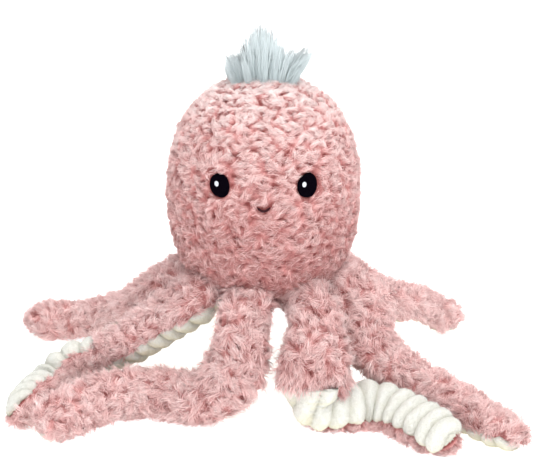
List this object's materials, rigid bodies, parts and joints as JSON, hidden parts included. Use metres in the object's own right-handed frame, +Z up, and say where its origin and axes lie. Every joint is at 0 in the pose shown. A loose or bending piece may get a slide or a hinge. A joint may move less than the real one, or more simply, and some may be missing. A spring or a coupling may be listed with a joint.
{
  "type": "octopus plush toy",
  "caption": "Stuffed furry octopus with a round head, a tuft of pale hair and embroidered eyes, standing on curling arms with ribbed undersides that flex at the head seam and halfway.",
  "frame": {"origin": "middle of the footprint, on the surface the toy stands on", "axes": "+Z up, the face looks along -Y, +X to the right of someone facing the toy"},
  "size_m": [0.3778, 0.3, 0.2799],
  "materials": {
    "pink_fur": "short curled pile, matte",
    "white_rib": "soft ribbed chenille, matte",
    "filling": "loose polyester fibre",
    "pale_hair": "long soft hair",
    "navy_thread": "dense satin stitch",
    "white_thread": "dense satin stitch",
    "mouth_thread": "single stitched thread"
  },
  "bodies": {
    "head": {"head_cover": "pink_fur", "head_stuffing": "filling", "base_panel": "pink_fur", "crown_tuft": "pale_hair", "mouth_thread": "mouth_thread", "eye_left": "navy_thread", "eye_left_glint": "white_thread", "eye_right": "navy_thread", "eye_right_glint": "white_thread"},
    "arm_front_left_upper": {"arm_front_left_upper_cover": "pink_fur", "arm_front_left_upper_underside": "white_rib", "arm_front_left_upper_stuffing": "filling"},
    "arm_front_left_lower": {"arm_front_left_lower_cover": "pink_fur", "arm_front_left_lower_underside": "white_rib", "arm_front_left_lower_stuffing": "filling"},
    "arm_front_right_upper": {"arm_front_right_upper_cover": "pink_fur", "arm_front_right_upper_underside": "white_rib", "arm_front_right_upper_stuffing": "filling"},
    "arm_front_right_lower": {"arm_front_right_lower_cover": "pink_fur", "arm_front_right_lower_underside": "white_rib", "arm_front_right_lower_stuffing": "filling"},
    "arm_side_left_upper": {"arm_side_left_upper_cover": "pink_fur", "arm_side_left_upper_underside": "white_rib", "arm_side_left_upper_stuffing": "filling"},
    "arm_side_left_lower": {"arm_side_left_lower_cover": "pink_fur", "arm_side_left_lower_underside": "white_rib", "arm_side_left_lower_stuffing": "filling"},
    "arm_side_right_upper": {"arm_side_right_upper_cover": "pink_fur", "arm_side_right_upper_underside": "white_rib", "arm_side_right_upper_stuffing": "filling"},
    "arm_side_right_lower": {"arm_side_right_lower_cover": "pink_fur", "arm_side_right_lower_underside": "white_rib", "arm_side_right_lower_stuffing": "filling"},
    "arm_back_left_upper": {"arm_back_left_upper_cover": "pink_fur", "arm_back_left_upper_underside": "white_rib", "arm_back_left_upper_stuffing": "filling"},
    "arm_back_left_lower": {"arm_back_left_lower_cover": "pink_fur", "arm_back_left_lower_underside": "white_rib", "arm_back_left_lower_stuffing": "filling"},
    "arm_back_right_upper": {"arm_back_right_upper_cover": "pink_fur", "arm_back_right_upper_underside": "white_rib", "arm_back_right_upper_stuffing": "filling"},
    "arm_back_right_lower": {"arm_back_right_lower_cover": "pink_fur", "arm_back_right_lower_underside": "white_rib", "arm_back_right_lower_stuffing": "filling"},
    "arm_rear_left_upper": {"arm_rear_left_upper_cover": "pink_fur", "arm_rear_left_upper_underside": "white_rib", "arm_rear_left_upper_stuffing": "filling"},
    "arm_rear_left_lower": {"arm_rear_left_lower_cover": "pink_fur", "arm_rear_left_lower_underside": "white_rib", "arm_rear_left_lower_stuffing": "filling"},
    "arm_rear_right_upper": {"arm_rear_right_upper_cover": "pink_fur", "arm_rear_right_upper_underside": "white_rib", "arm_rear_right_upper_stuffing": "filling"},
    "arm_rear_right_lower": {"arm_rear_right_lower_cover": "pink_fur", "arm_rear_right_lower_underside": "white_rib", "arm_rear_right_lower_stuffing": "filling"}
  },
  "joints": [
    {"name": "front_left_root", "type": "hinge", "parent": "head", "child": "arm_front_left_upper", "pos_m": [-0.01005, -0.08401, 0.109], "axis": [-0.9833, 0.1822, 0], "range_deg": [-4, 50], "stiffness_Nm_per_rad": 0.24, "springref_deg": -19.37},
    {"name": "front_left_bend", "type": "hinge", "parent": "arm_front_left_upper", "child": "arm_front_left_lower", "pos_m": [-0.04037, -0.09647, 0.04277], "axis": [0.0367, 0.9993, 0], "range_deg": [-4, 18]},
    {"name": "front_right_root", "type": "hinge", "parent": "head", "child": "arm_front_right_upper", "pos_m": [0.0365, -0.07412, 0.109], "axis": [-0.8241, -0.5664, 0], "range_deg": [-5, 50], "stiffness_Nm_per_rad": 0.088, "springref_deg": -19.94},
    {"name": "front_right_bend", "type": "hinge", "parent": "arm_front_right_upper", "child": "arm_front_right_lower", "pos_m": [0.05528, -0.10491, 0.04168], "axis": [-0.3127, -0.9498, 0], "range_deg": [-5, 50]},
    {"name": "side_left_root", "type": "hinge", "parent": "head", "child": "arm_side_left_upper", "pos_m": [-0.04995, -0.0581, 0.109], "axis": [-0.5664, 0.8241, 0], "range_deg": [-5, 50]},
    {"name": "side_left_bend", "type": "hinge", "parent": "arm_side_left_upper", "child": "arm_side_left_lower", "pos_m": [-0.12928, -0.03488, 0.04387], "axis": [0.0501, 0.9987, 0], "range_deg": [-5, 50]},
    {"name": "side_right_root", "type": "hinge", "parent": "head", "child": "arm_side_right_upper", "pos_m": [0.06241, -0.03421, 0.109], "axis": [-0.1822, -0.9833, 0], "range_deg": [-5, 50], "stiffness_Nm_per_rad": 0.45, "springref_deg": -19.77},
    {"name": "side_right_bend", "type": "hinge", "parent": "arm_side_right_upper", "child": "arm_side_right_lower", "pos_m": [0.11625, -0.06009, 0.04184], "axis": [-0.2314, -0.9729, 0], "range_deg": [-5, 50]},
    {"name": "back_left_root", "type": "hinge", "parent": "head", "child": "arm_back_left_upper", "pos_m": [-0.05985, -0.01155, 0.109], "axis": [0.1822, 0.9833, 0], "range_deg": [-5, 50], "stiffness_Nm_per_rad": 0.16, "springref_deg": -19.14},
    {"name": "back_left_bend", "type": "hinge", "parent": "arm_back_left_upper", "child": "arm_back_left_lower", "pos_m": [-0.11278, 0.06236, 0.04762], "axis": [0.7959, 0.6055, 0], "range_deg": [-5, 50]},
    {"name": "back_right_root", "type": "hinge", "parent": "head", "child": "arm_back_right_upper", "pos_m": [0.05252, 0.01233, 0.109], "axis": [0.5664, -0.8241, 0], "range_deg": [-5, 50]},
    {"name": "back_right_bend", "type": "hinge", "parent": "arm_back_right_upper", "child": "arm_back_right_lower", "pos_m": [0.11327, 0.0554, 0.05432], "axis": [0.7234, -0.6904, 0], "range_deg": [-5, 50]},
    {"name": "rear_left_root", "type": "hinge", "parent": "head", "child": "arm_rear_left_upper", "pos_m": [-0.03393, 0.02835, 0.109], "axis": [0.8241, 0.5664, 0], "range_deg": [-5, 50], "stiffness_Nm_per_rad": 0.23, "springref_deg": -19.42},
    {"name": "rear_left_bend", "type": "hinge", "parent": "arm_rear_left_upper", "child": "arm_rear_left_lower", "pos_m": [-0.03754, 0.09683, 0.04967], "axis": [0.9487, 0.3162, 0], "range_deg": [-5, 50]},
    {"name": "rear_right_root", "type": "hinge", "parent": "head", "child": "arm_rear_right_upper", "pos_m": [0.01261, 0.03825, 0.109], "axis": [0.9833, -0.1822, 0], "range_deg": [-5, 50], "stiffness_Nm_per_rad": 0.2, "springref_deg": -19.37},
    {"name": "rear_right_bend", "type": "hinge", "parent": "arm_rear_right_upper", "child": "arm_rear_right_lower", "pos_m": [0.04523, 0.09814, 0.04966], "axis": [0.8725, -0.4885, 0], "range_deg": [-5, 50]}
  ]
}
